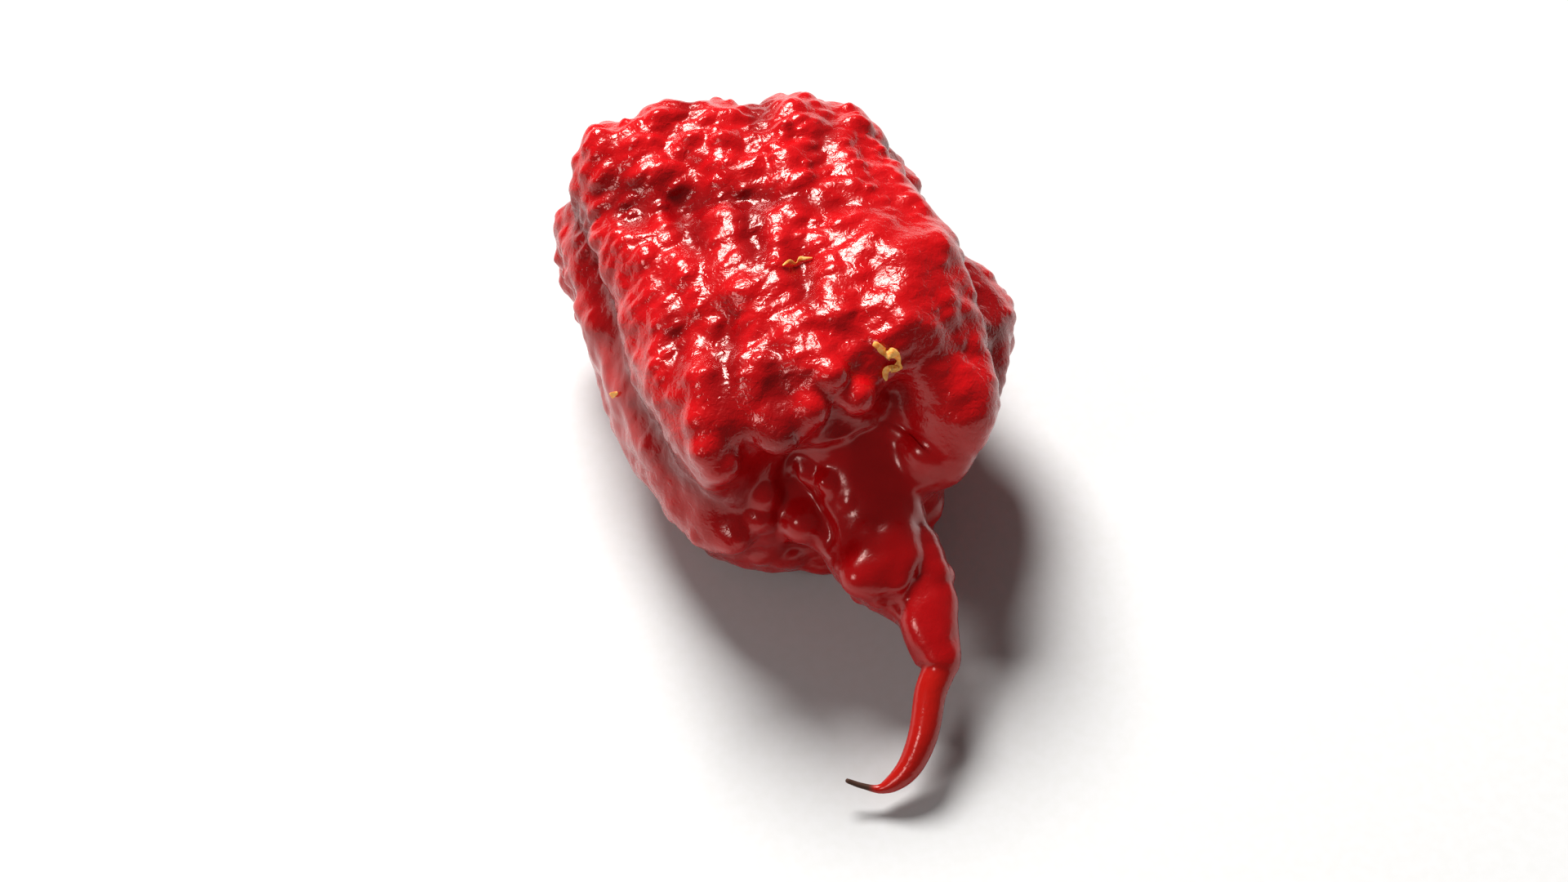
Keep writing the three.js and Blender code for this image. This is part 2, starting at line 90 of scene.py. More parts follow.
# Furrows along the body: (angle at the stem, angle at the nose, depth at the stem, depth at the nose,
# half-width, wander in degrees). Angle 0 is +X and 90 is up.
FURROWS = (
    (33, 21, 2.8, 2.4, 2.3, 2), (158, 168, 1.9, 1.7, 2.4, 4), (302, 292, 2.4, 1.4, 3, 5),
    (214, 204, 1.6, 1.6, 2.4, 4), (252, 248, 1.2, 1.2, 2.2, 6), (342, 338, 1.4, 1.4, 2.2, 6),
    (124, 148, 0.8, 0.8, 1.6, 4), (98, 142, 1.1, 1, 1.8, 5), (72, 130, 1.1, 0.9, 1.8, 4),
    (52, 112, 0.8, 1, 1.6, 5),
)
# A furrow's first angle and depth hold at this along, and its last ones this much further.
FURROWS_START = -21
FURROWS_LENGTH = 40
FURROW_FILL = 0.9  # in places a furrow is this much shallower, so that weak ones are broken:
FILL_LENGTH = 2.4  # a sine wave along it, with this length to a radian
WANDER_LENGTH = 5  # a furrow wanders by a sine wave along it, with this length to a radian
FURROW_RADIUS = 6  # inside this radius a furrow no longer gets narrower
FURROWS_IN = (5, 13)  # they fade in between these arc lengths of the outline,
FURROWS_OUT = (-5, 2.5)  # and out between these, measured from the nose
# One crease runs across the upper side, behind the shoulder of the stem end: (angle of its middle, where
# it is along there, slope per degree, depth, half-width, half-length in degrees).
CREASE = (100, -7.4, -0.115, 0.9, 1.7, 42)
# Short folds, each pressed in along a straight line: (x, y, z, x, y, z, half-width, depth).
FOLDS = (
    (6.3, -19.6, 13.4, 5, -24.6, 12.8, 1.2, 0.55),  # beside the neck's cuff
    (5, -24.6, 12.8, 1.4, -26, 11, 1.1, 0.65),  # under the cuff's edge
    (1.4, -26, 11, 0.6, -26.4, 8.4, 1.1, 0.25),
    (-2.6, -15.6, 15, -1.4, -18.6, 12.6, 1, 0.8),  # between the lower lobe and the neck
    (2.6, -30, 8.6, 6, -29.4, 9.4, 0.8, 0.2),  # where the tail starts
)
# Slow waves of the surface: (height, length, seed).
WAVES = ((0.7, 17, 1.3), (0.4, 8, 4.1), (0.2, 4.6, 2.7))
WAVES_IN = (1.5, 8)  # they fade in between these radii of the outline
# Each of the three waves in one rolling is bent this much by the next, which runs at its own pace, and
# has its own shift.
ROLL_BEND = 1.7
ROLL_PACES = (0.71, 0.83, 0.77)
ROLL_SHIFTS = (0.9, 2.1, 3.3)
# Swellings and hollows: (x, y, z, reach, push in x, y and z).
SWELLINGS = (
    (-11, -13, 22, 4.6, -0.8, -1.6, 0.2),  # the upper lobe's left nose, and
    (-10.4, -15.2, 20.6, 2.6, -0.4, -1.2, 0.1),  # the lump that hangs from it
    (-7.4, -15.5, 21.6, 1.8, 0, 1.3, 0.7),  # the dent beside it
    (-4.9, -15, 23, 1.8, 0, -1.1, 0),  # the middle nose is two rounded lobes
    (-1.7, -14.6, 23.4, 1.8, 0, -1, 0),
    (0.9, -15.2, 22.6, 1.5, 0, 0.9, 0.4),  # the next dent
    (3, -13.4, 24.2, 2.2, 0.2, -1.1, 0.2),  # the small tongue over the notch, and
    (0.6, -12.4, 26.4, 2, 0, -0.9, 0.5),  # the lump above it
    (6.2, -15.4, 21.4, 3.4, 0.2, 3, -0.8),  # the notch beside the tongue
    (5.6, -16.4, 18.6, 2.4, 0, 1.8, 0),
    (5, -14.5, 23.5, 2.3, 0.4, 1.9, -0.6),
    (-3, -14.2, 19.4, 2.8, 0, 1.6, 0),
    (0.6, -15.2, 21.2, 2.4, 0, 2.1, 0),
    (3.2, -15.4, 20, 2.2, 0, 2, 0),
    (-4, -15.6, 17.4, 3.8, 0, 2.8, 0),  # the crease under the noses
    (8.6, -14, 16.5, 4.8, 0, -3, -0.4),  # the front of the right side, hanging over the neck
    (12.5, -12, 19, 4.4, 0.8, -2, 0.4),
    (6.8, -15, 17.6, 2.4, 0, -1, 0.2),  # the round lump low on that front
    (17, 0, 15, 6.5, 2.8, -0.4, 0.4),  # the right lobe, and
    (16, -6, 20, 1.9, 0.9, -0.5, 1),  # the lump on top of it
    (18.4, 7.6, 18, 5.4, -2, 0.2, 0),  # the dent behind it
    (17.6, 4.2, 19.2, 2.4, -1, 0, -0.3),
    (15, -11, 6, 7, -3, 3.4, 0.6),  # its end, drawn in low down
    (-6, -13, 5, 6, -0.8, 1.4, 0.6),  # the lower lobe's end, and
    (-9.4, -13.6, 10.6, 2.4, -0.4, -1.4, 0.2),  # two lumps on it
    (-6.2, -14, 13, 1.7, 0, -1, 0.2),
    (-3, -15.6, 11.6, 1.9, -0.6, -1.6, 0.2),  # two lumps beside the neck
    (-1, -16, 14, 1.4, -0.5, -1, 0.2),
    (0, -23, 11.6, 2.4, -0.5, -0.5, 0.7),  # the cuff on the neck, and
    (1.2, -26.4, 8.2, 2.6, 0.7, 0.2, 0.4),  # the narrower part below it
    (7, -25.8, 9.6, 3, 0.9, 0, 0.2),
    (11.5, 18, 21.5, 6, 1.2, -0.4, -0.4),  # the right shoulder
    (-12, 17, 16, 6, -0.6, 0.8, 0),  # the left shoulder
    (-14.5, -9, 9, 4.5, 0.1, 0.2, 0),  # the lower lobe's left end
    (-17.2, 12.4, 12.4, 4.6, 1.9, 0, 0),  # the dent behind its waist
    (11.6, -15, 10, 2.8, -0.8, 0.6, 0),
    (14, 14.6, 24, 3.8, 0.2, 0, 0),  # the corners of the stem end, right
    (10.5, 18.5, 25, 3.4, -0.2, -0.4, -0.5),
    (-9.5, 18.5, 26, 4.6, -0.1, 0.3, 1.9),  # and left
    (-4, 20, 27, 2.8, 0, 0, 1.4),
    (1.5, 20, 27, 2.2, 0, 0, -0.9),
    (-16, -4.5, 12, 5, 0.4, 0, 0),  # its waist
    (-11.5, -10.8, 24.2, 5.6, -0.2, -0.2, 2),  # the upper lobe stays level as far as its noses
    (-3.8, -11.8, 25.6, 5.6, 0, -0.2, 2.4),
    (4, -9, 27.4, 4, 0, 0, 0.8),
    (0.8, -7, 28.5, 2.1, 0, -0.4, 1.1),  # three mounds on the upper lobe
    (-4.5, -1, 29, 3, 0, 0, 0.5),
    (10, -4, 27, 5, 0, 0, 1.6),
    (8.6, -9.4, 26.4, 3.8, 0, -0.4, 1.3),  # the level patch on the right of it
    (12, -3.6, 24.6, 4, 0.4, 0, 0.9),
)
# Single lumps: (arc length along the outline, angle, half-length, half-width, height).
LUMPS = (
    (46.1, 142, 2, 2, 0.8), (47.9, 144, 2.4, 2.4, 1), (49.7, 143, 2.4, 2.4, 1.2),  # the left nose
    (50.6, 122, 3.6, 3.4, 1.5), (49.7, 108, 2.4, 2.4, 0.9),  # the middle nose
    (49.2, 90, 2.4, 2.2, 1.1), (47.2, 95, 2.2, 2.2, 0.8),  # the tongue and the lump behind it
    (50.9, 50, 6, 6, 1.1), (55.5, 54, 2.8, 2.8, 0.9), (53.3, 54, 2, 2, 0.5),  # the right front
    (55.5, 161, 2.1, 2.1, 0.8), (58.4, 170, 2.3, 2.3, 0.9),  # the lower lobe's front
    (58, 138, 2.2, 1.5, 1.1), (54.8, 172, 2, 2, 1), (52.6, 182, 2.6, 2.6, 1.2),
    (58.7, 126, 1.6, 1.4, 0.9),
    (64.1, 149, 3, 2.8, 0.8),  # the neck's left side
)
# Bumps lie in uneven rows over the whole body. These hold for each kind that says nothing else.
BUMPS_FROM = 6  # arc length along the outline where they start,
BUMPS_BEYOND = 2  # and how far they go on beyond the nose
BUMPS_KEPT = 0.95  # the share of the bumps that is there, where the body is wide,
BUMPS_RADIUS = 16  # and the radius below which there are fewer
ROW_SWAY = 4  # a row starts up to this many degrees to one side,
BUMP_SWAY = 0.28  # and a bump lies up to this share of a row's width beside its row
BUMP_SIZES = (0.7, 1.3)  # the shares of the sizes given that bumps have: both half-sizes,
BUMP_WIDTHS = (0.9, 1.15)  # the half-width besides,
BUMP_HEIGHTS = (0.4, 1.3)  # the height,
BUMP_PITCHES = (0.8, 1.25)  # and the distance to the next
SHOULDER_MORE = 0.45  # bumps on the stem end's shoulder are higher by this share,
SHOULDER_TO = (-12, -4)  # which fades between these distances along
FURROW_CALM = 0.75  # share of a knob's height that goes where furrows are deepest
BUMP_REACH = 2.2  # a bump matters within this many half-sizes along the outline,
BUMP_THICKNESS = 1.6  # and within this many half-sizes above and below the surface
UNION_POWER = 4  # how sharply neighbouring bumps stay apart
# The numbers of the linear congruential generator that places the bumps.
LCG_TIMES = 1664525
LCG_PLUS = 1013904223
LCG_MODULUS = 2**32
# Smoother patches of the skin: (x, y, z, reach, share of the bumps' height that goes).
CALM = (
    (9.5, -13, 16.5, 6.5, 0.85), (8.5, -4, 28, 5, 0.5), (-6.5, -13.5, 8, 7.5, 0.6),
    (-4.8, -14.8, 14, 3, 0.85), (-12, -13, 20, 4.5, 0.6), (14, -6, 8, 8, 0.4), (0, 22, 14, 9, 0.7),
    (-17, 1, 14, 8, 0.8),
    (-2, -5, 29, 9, 0.25), (10, -4, 27, 5, 0.5), (-6, -15.5, 22, 6, 0.8), (3, -15.5, 22, 6, 0.8),
)
FLAT_BLEND = 0.5  # the skin eases into the flat spot over this height

NORMAL_STEP = 0.03  # the length along the outline, and
NORMAL_TURN = 0.15  # the turn, that a surface's direction is measured over to both sides
AHEAD_STEP = 0.1  # the length that a bump's own direction is measured over
RING_SLACK = 1.02  # edges round a ring may be this much longer than the spacing
TINY = 1e-12  # added to a length, so that nothing is divided by zero


def smooth(x, start, end):
    """0 before start and 1 after end, with an even S between them."""
    t = np.clip((x - start) / (end - start), 0, 1)
    return t * t * (3 - 2 * t)


def signed_turn(angle, about):
    """The turn from one angle to another, from -180 to 180."""
    return (angle - about + 180) % 360 - 180


def unit(v):
    """Vectors of length 1 in the same directions."""
    return v / (np.linalg.norm(v, axis=-1, keepdims=True) + TINY)


def curve_through(rows, samples=SAMPLES):
    """Evenly spread points on the smooth curve through the rows: a uniform Catmull-Rom spline."""
    points = np.asarray(rows, float)
    last = len(points) - 1
    at = np.linspace(0, last, samples + 1)
    i = np.minimum(at.astype(int), last - 1)
    t = (at - i)[:, None]
    before, start, end, after = (points[np.clip(i + k, 0, last)] for k in (-1, 0, 1, 2))
    leaving, arriving = (end - before) / 2, (after - start) / 2
    cubic = 2 * start - 2 * end + leaving + arriving
    square = 3 * end - 3 * start - 2 * leaving - arriving
    return ((cubic * t + square) * t + leaving) * t + start


OUTLINE_CURVE = curve_through(OUTLINE)
SPINE_CURVE = curve_through(SPINE)
ARCS = np.concatenate([[0], np.cumsum(np.linalg.norm(np.diff(OUTLINE_CURVE, axis=0), axis=1))])
LENGTH = ARCS[-1]
# The arc length of the body's blunt end.
NOSE = ARCS[np.argmax(np.where(OUTLINE_CURVE[:, 1] > NOSE_RADIUS, OUTLINE_CURVE[:, 0], -np.inf))]


def along_at(arc):
    """How far along the pepper the outline is at an arc length."""
    return np.interp(arc, ARCS, OUTLINE_CURVE[:, 0])


def radius_at(arc):
    """The outline's radius at an arc length."""
    return np.maximum(np.interp(arc, ARCS, OUTLINE_CURVE[:, 1]), 0)


def spine_at(along):
    """The point of the bent line at a distance along."""
    return np.stack([np.interp(along, SPINE_CURVE[:, 0], SPINE_CURVE[:, k]) for k in (1, 2, 3)], -1)


def ring_directions(along):
    """The two directions that a ring is drawn in, to its side and up: upright on the body, and
    turning square to the bent line on the neck."""
    bent = unit(spine_at(along + SPINE_STEP) - spine_at(along - SPINE_STEP))
    turned = smooth(along, STRAIGHT_TO, TURNED_FROM)[..., None]
    tangent = unit(bent * turned + np.array([0, -1.0, 0]) * (1 - turned))
    side = unit(np.cross([0, 0, 1.0], tangent))
    return side, np.cross(tangent, side)


def plain(arc, angle):
    """Rings of the outline's radius round the bent line. On the body a ring is a superellipse:
    |cos|^n + |sin / height share|^n = 1."""
    along, radius = along_at(arc), radius_at(arc)
    turn = np.radians(angle)
    cos, sin = np.cos(turn), np.sin(turn)
    square = (np.abs(cos) ** SQUARENESS + np.abs(sin / HEIGHT_SHARE) ** SQUARENESS) ** (-1 / SQUARENESS)
    radius = radius * (1 + smooth(radius, *SQUARE_FROM) * (square - 1))
    side, up = ring_directions(along)
    return spine_at(along) + radius[..., None] * (cos[..., None] * side + sin[..., None] * up)


def normals_of(surface, arc, angle):
    """Outward normals of a surface: the cross product of a small step round it and one along it."""
    round_it = surface(arc, angle + NORMAL_TURN) - surface(arc, angle - NORMAL_TURN)
    behind, ahead = np.maximum(arc - NORMAL_STEP, 0), np.minimum(arc + NORMAL_STEP, LENGTH)
    return unit(np.cross(round_it, surface(ahead, angle) - surface(behind, angle)))


def rolling(points, size, seed):
    """Smooth rolling from -1 to 1: three crossed sine waves, each bent by the next."""
    turns = [points[..., i] * 2 * np.pi / size for i in range(3)]
    total = 0
    for i, (pace, shift) in enumerate(zip(ROLL_PACES, ROLL_SHIFTS)):
        bend = ROLL_BEND * np.sin(pace * turns[(i + 1) % 3] + (i + 1) * seed)
        total = total + np.sin(turns[i] + bend + shift * seed)
    return total / 3


def furrow_depth(arc, angle):
    """How deep the furrows and the crease press in: a bell across each, fading at the stem end and at
    the nose."""
    along, radius = along_at(arc), radius_at(arc)
    share = np.clip((along - FURROWS_START) / FURROWS_LENGTH, 0, 1)
    depth = np.zeros_like(along)
    for start, end, depth_start, depth_end, width, wander in FURROWS:
        middle = start + (end - start) * share + wander * np.sin(along / WANDER_LENGTH + start)
        away = np.radians(signed_turn(angle, middle)) * np.maximum(radius, FURROW_RADIUS)
        filled = FURROW_FILL * (0.5 + 0.5 * np.sin(along / FILL_LENGTH + 2 * start))
        deepest = np.maximum(depth_start + (depth_end - depth_start) * share**2 - filled, 0)
        depth += deepest * np.exp(-((away / width) ** 2))
    about, middle, slope, deepest, width, spread = CREASE
    turn = signed_turn(angle, about)
    across = np.exp(-(((along - middle - slope * turn) / width) ** 2))
    depth += deepest * across * np.exp(-((turn / spread) ** 2))
    return depth * smooth(arc, *FURROWS_IN) * (1 - smooth(arc - NOSE, *FURROWS_OUT))


def swollen(arc, angle):
    """The plain surface pressed in along its furrows and folds and rolled by slow waves, with its
    swellings pushed out and its hollows in, each fading as a bell."""
    start = plain(arc, angle)
    waves = sum(height * rolling(start, size, seed) for height, size, seed in WAVES)
    push = smooth(radius_at(arc), *WAVES_IN) * waves - furrow_depth(arc, angle)
    for *start_end, width, depth in FOLDS:
        a, b = np.array(start_end[:3]), np.array(start_end[3:])
        share = np.clip((start - a) @ (b - a) / ((b - a) @ (b - a)), 0, 1)[..., None]
        far = np.linalg.norm(start - a - share * (b - a), axis=-1) / width
        push = push - depth * np.exp(-(far**2))
    points = start + push[..., None] * normals_of(plain, arc, angle)
    for x, y, z, reach, *move in SWELLINGS:
        far = np.linalg.norm(start - [x, y, z], axis=-1) / reach
        points = points + np.exp(-(far**2))[..., None] * np.array(move)
    return points


def calmness(points):
    """The share of their height that bumps keep at a point of the body."""
    kept = np.ones(points.shape[:-1])
    for x, y, z, reach, share in CALM:
        kept = kept * (1 - share * np.exp(-((np.linalg.norm(points - [x, y, z], axis=-1) / reach) ** 2)))
    return kept


def numbers_from(seed):
    """A repeatable source of numbers between low and high: a linear congruential generator."""
    state = [seed]

    def draw(low=0.0, high=1.0):
        state[0] = (LCG_TIMES * state[0] + LCG_PLUS) % LCG_MODULUS
        return low + (high - low) * state[0] / LCG_MODULUS

    return draw


def bumps_of(
    rows, pitch, seed, long, wide, height,
    furrow_calm=0.0, start=BUMPS_FROM, end=NOSE + BUMPS_BEYOND, full_radius=BUMPS_RADIUS,
):
    """Bumps in uneven rows from start to end, each as (arc, angle, half-length, half-width, height).
    They stand out most on the shoulder of the stem end, are lower on the smoother patches, and lose a
    share of their height down in the furrows."""
    draw = numbers_from(seed)
    found = []
    for row in range(rows):
        middle = 360 * row / rows + draw(-ROW_SWAY, ROW_SWAY)
        arc = start + draw(0, pitch)
        while arc < end:
            kept = draw() < min(BUMPS_KEPT, radius_at(arc) / full_radius)
            angle = middle + draw(-BUMP_SWAY, BUMP_SWAY) * 360 / rows
            size = draw(*BUMP_SIZES)
            high = height * draw(*BUMP_HEIGHTS)
            across = wide * size * draw(*BUMP_WIDTHS)
            if kept:
                found.append((arc, angle, long * size, across, high))
            arc += pitch * draw(*BUMP_PITCHES)
    table = np.array(found)
    arc, angle = table[:, 0], table[:, 1]
    table[:, 4] *= calmness(plain(arc, angle))
    table[:, 4] *= 1 + SHOULDER_MORE * (1 - smooth(along_at(arc), *SHOULDER_TO))
    table[:, 4] *= 1 - furrow_calm * smooth(furrow_depth(arc, angle), 0, 1)
    return table


def bump_height(bumps, points, arc, lean=0.0):
    """The height of bumps at points: low domes (1 - q^2)^2, joined as the 4th root of the sum of
    4th powers, so that creases stay between them. They are turned about their middles by the lean."""
    at, angle, long, wide, high = bumps.T
    centre = swollen(at, angle)
    normal = normals_of(swollen, at, angle)
    ahead = unit(swollen(at + AHEAD_STEP, angle) - swollen(at - AHEAD_STEP, angle))
    across = np.cross(normal, ahead)
    cos, sin = math.cos(math.radians(lean)), math.sin(math.radians(lean))
    ahead, across = ahead * cos + across * sin, across * cos - ahead * sin
    reach = BUMP_REACH * np.maximum(long, wide)
    thick = BUMP_THICKNESS * np.maximum(long, wide)
    total = np.zeros(len(points))
    for i in range(len(bumps)):
        near = np.flatnonzero(np.abs(arc - at[i]) < reach[i])
        away = points[near] - centre[i]
        far = (away @ ahead[i] / long[i]) ** 2 + (away @ across[i] / wide[i]) ** 2
        far += (away @ normal[i] / thick[i]) ** 2
        total[near] += (np.clip(1 - far, 0, 1) ** 2 * high[i]) ** UNION_POWER
    return total ** (1 / UNION_POWER)


KNOBS = bumps_of(rows=29, pitch=2.9, seed=7, long=1.7, wide=2, height=0.46, furrow_calm=FURROW_CALM)
# Small beads stand between the knobs and on them.
BEADS = bumps_of(rows=49, pitch=1.45, seed=5, long=0.8, wide=1.25, height=0.26)
BEADS_SOFTER = 0.5  # share of their height that goes low on the sides,
BEADS_FULL = (12, 24)  # and the heights between which it comes back
low = 1 - smooth(plain(BEADS[:, 0], BEADS[:, 1])[:, 2], *BEADS_FULL)
BEADS[:, 4] *= 1 - BEADS_SOFTER * low
# There are larger beads on the thick part of the neck, from the nose on.
NECK_BEADS = bumps_of(
    rows=9, pitch=2.2, seed=9, long=1.3, wide=1.6, height=0.26, start=NOSE, end=69, full_radius=4
)
# Fine wrinkles run across the body, at a slant.
WRINKLES = bumps_of(rows=47, pitch=0.85, seed=21, long=0.48, wide=1.1, height=0.05)
WRINKLE_LEAN = 23
# Puckers run from the stem's scar up the sides of the dimple.
PUCKERS = 13  # how many there are
PUCKER_HEIGHT = 0.13
PUCKERS_IN = (2, 3.4)  # they fade in between these arc lengths,
PUCKERS_OUT = (6, 11)  # and out between these


def skin_at(arc, angle):
    """The finished skin: the swollen body with knobs, lumps, beads, crosswise wrinkles and puckers on
    it, pressed flat where it rests. Returns the points and the height of the knobs, lumps and beads."""
    points = swollen(arc, angle)
    kinds = (np.concatenate([KNOBS, LUMPS]), BEADS, NECK_BEADS)
    knobs = sum(bump_height(bumps, points, arc) for bumps in kinds)
    wrinkles = bump_height(WRINKLES, points, arc, WRINKLE_LEAN)
    puckers = PUCKER_HEIGHT * np.cos(np.radians(PUCKERS * angle) + np.sin(arc))
    puckers = puckers * smooth(arc, *PUCKERS_IN) * (1 - smooth(arc, *PUCKERS_OUT))
    points = points + (knobs + wrinkles + puckers)[:, None] * normals_of(swollen, arc, angle)
    z = points[:, 2]
    eased = (z + FLAT_BLEND) ** 2 / (4 * FLAT_BLEND)
    points[:, 2] = np.where(z > FLAT_BLEND, z, np.where(z < -FLAT_BLEND, 0, eased))
    return points - MIDDLE, knobs


def ring_plan():
    """Arc lengths of the rings, evenly spaced along the outline, and how many points each has: what its
    girth needs, and no more than twice as many as its neighbours."""
    arcs = np.linspace(0, LENGTH, round(LENGTH / SPACING) + 1)[1:-1]
    need = 2 * np.pi * radius_at(arcs) / (SPACING * RING_SLACK)
    counts = np.array(RING_COUNTS)[np.minimum(np.searchsorted(RING_COUNTS, need), len(RING_COUNTS) - 1)]
    for i in range(1, len(counts)):
        counts[i] = min(counts[i], counts[i - 1] * 2)
    for i in reversed(range(len(counts) - 1)):
        counts[i] = min(counts[i], counts[i + 1] * 2)
    return arcs, counts


def strip(a, b, points_a, points_b):
    """Triangles between two rings that start at a and b, of equal counts, or of which one has twice
    the other's."""
    i = np.arange(min(points_a, points_b))
    j = (i + 1) % len(i)
    if points_a == points_b:
        return [(a + i, a + j, b + j), (a + i, b + j, b + i)]
    if points_a > points_b:
        first, half, after = a + 2 * i, a + 2 * i + 1, a + 2 * j
        return [(first, half, b + i), (half, b + j, b + i), (half, after, b + j)]
    first, half, after = b + 2 * i, b + 2 * i + 1, b + 2 * j
    return [(a + i, half, first), (a + i, a + j, half), (a + j, after, half)]


def stitched(counts):
    """Triangles over rings with these numbers of points, and a fan to one point at each end. The two
    end points are numbered after all the rings."""
    starts = np.concatenate([[0], np.cumsum(counts)])
    triangles = []
    for i in range(len(counts) - 1):
        triangles += strip(starts[i], starts[i + 1], counts[i], counts[i + 1])
    k = np.arange(counts[0])
    triangles.append(((k + 1) % counts[0], k, np.full_like(k, starts[-1])))
    k = np.arange(counts[-1])
    triangles.append((starts[-2] + k, starts[-2] + (k + 1) % counts[-1], np.full_like(k, starts[-1] + 1)))
    return np.concatenate([np.stack(three, 1) for three in triangles])


def skin_mesh():
    """The grid of the skin. Returns points, triangles, and each point's arc, angle and knob height."""
    arcs, counts = ring_plan()
    arc = np.concatenate([np.repeat(arcs, counts), [0, LENGTH]])
    angle = np.concatenate([*(np.arange(n) * 360 / n for n in counts), [0, 0]])
    points, knobs = skin_at(arc, angle)
    return points, stitched(counts), arc, angle, knobs


# Scraps of the dried flower stick to the skin: thin, curled ribbons. Each is rows of (arc, angle, height
# over the skin, half-width, twist in degrees).
SCRAPS = (
    (
        (45.9, 77.8, 0.25, 0.2, 0), (46.2, 76, 0.5, 0.4, 40), (46.7, 74.8, 0.25, 0.3, -50),
        (46.8, 72.6, 0.6, 0.62, 10), (47.4, 71, 0.35, 0.3, 70), (47.9, 72.4, 0.35, 0.52, -30),
        (47.6, 74.6, 0.55, 0.26, 60), (48, 76.4, 0.3, 0.42, -20), (48.6, 77.4, 0.3, 0.1, 10),
    ),
    (
        (37, 97.6, 0.15, 0.06, 0), (36.5, 95, 0.3, 0.17, 30), (36.5, 92.5, 0.2, 0.12, 70),
        (36.1, 90, 0.35, 0.2, 20), (36.5, 86, 0.15, 0.06, 40),
    ),
    ((35.6, 177.6, 0.2, 0.1, 0), (35.8, 176, 0.35, 0.3, 40), (36.1, 174, 0.2, 0.12, 10)),
)
SCRAP_THICKNESS = 0.05  # half of it
SCRAP_RINGS = 40
SCRAP_SIDES = 16


def scrap_mesh(rows):
    """A ribbon along a smooth line over the skin: centre + half-width cos v across + thickness sin v up,
    where across and up turn round the line by the twist. Returns points, triangles and how near each
    point is to the ribbon's edge."""
    arc, angle, lift, half_width, twist = curve_through(rows, SCRAP_RINGS).T
    up = normals_of(swollen, arc, angle)
    centre = skin_at(arc, angle)[0] + lift[:, None] * up
    ahead = unit(np.gradient(centre, axis=0))
    across = unit(np.cross(up, ahead))
    up = np.cross(ahead, across)
    cos, sin = np.cos(np.radians(twist))[:, None], np.sin(np.radians(twist))[:, None]
    across, up = cos * across + sin * up, cos * up - sin * across
    v = np.arange(SCRAP_SIDES) * 2 * np.pi / SCRAP_SIDES
    wide = half_width[:, None, None] * np.cos(v)[None, :, None] * across[:, None, :]
    rings = centre[:, None, :] + wide + SCRAP_THICKNESS * np.sin(v)[None, :, None] * up[:, None, :]
    points = np.concatenate([rings.reshape(-1, 3), centre[[0, -1]]])
    edge = np.concatenate([np.tile(np.abs(np.cos(v)), len(arc)), [1, 1]])
    return points, stitched([SCRAP_SIDES] * len(arc)), edge


# Pieces and materials


def add_piece(name, points, faces, material, attributes=None):
    """A smooth-shaded mesh object at the origin, in metres, from arrays in millimetres."""
    mesh = bpy.data.meshes.new(name)
    mesh.from_pydata((points * MM).tolist(), [], faces.tolist())
    mesh.polygons.foreach_set("use_smooth", np.ones(len(mesh.polygons), bool))
    for label, values in (attributes or {}).items():
        layer = mesh.attributes.new(label, "FLOAT", "POINT")
        layer.data.foreach_set("value", values.astype(np.float32))
    mesh.materials.append(material)
    mesh.update()
    piece = bpy.data.objects.new(name, mesh)
    bpy.context.scene.collection.objects.link(piece)
    return piece


def linear(hex_colour):
    """An sRGB hex colour as linear numbers."""
    value = int(hex_colour.lstrip("#"), 16)
    srgb = np.array([value >> 16, value >> 8 & 255, value & 255]) / 255
    rgb = np.where(srgb <= 0.04045, srgb / 12.92, ((srgb + 0.055) / 1.055) ** 2.4)
    return (*rgb.tolist(), 1.0)


def add_node(tree, kind, settings=None, inputs=None):
    """One node of the kind, with its settings, and with each input set to a number or linked to an
    output socket."""
    node = tree.nodes.new(kind)
    for name, value in (settings or {}).items():
        setattr(node, name, value)
    for name, value in (inputs or {}).items():
        if isinstance(value, bpy.types.NodeSocket):
            tree.links.new(value, node.inputs[name])
        else:
            node.inputs[name].default_value = value
    return node


def new_material(name):
    """An empty node material and its shader, joined to its output."""
    material = bpy.data.materials.new(name)
    material.use_nodes = True
    tree = material.node_tree
    tree.nodes.clear()
    shader = add_node(tree, "ShaderNodeBsdfPrincipled")
    add_node(tree, "ShaderNodeOutputMaterial", {}, {"Surface": shader.outputs["BSDF"]})
    return material, tree, shader


# A mix node has sockets for numbers and for colours under the same names, so they go by their places.
SHARE, NUMBER_A, NUMBER_B, COLOUR_A, COLOUR_B = 0, 2, 3, 6, 7
MIXED_NUMBER, MIXED_COLOUR = 0, 2


def layered_colour(tree, first, layers):
    """A colour with others laid over it: each layer is (value, start, end, most, colour), and covers the
    share that rises smoothly from 0 to most as the value goes from start to end."""
    colour = linear(first)
    for value, start, end, most, tone in layers:
        bounds = {"Value": value, "From Min": start, "From Max": end, "To Max": most}
        share = add_node(tree, "ShaderNodeMapRange", {"interpolation_type": "SMOOTHSTEP"}, bounds)
        inputs = {SHARE: share.outputs["Result"], COLOUR_A: colour, COLOUR_B: linear(tone)}
        colour = add_node(tree, "ShaderNodeMix", {"data_type": "RGBA"}, inputs).outputs[MIXED_COLOUR]
    return colour


# The skin's real sizes.
MOTTLE_SIZE = 6  # the red varies by a shade over this length,
WAX_SIZE = 1.5  # and the wax in thickness over this one
WAX_ROUGHNESS = (0.16, 0.26)  # its roughness from thin to thick, and
DULL_ROUGHNESS = 0.7  # that of cork and dead skin, which have no wax
WAX_IOR = 1.5
NET_SIZE = 0.55  # the cuticle has a net of fine wrinkles, this far apart
NET_HEIGHT = 0.1  # and this high
SKIN_GLOW = 1.2  # how far light spreads in the flesh


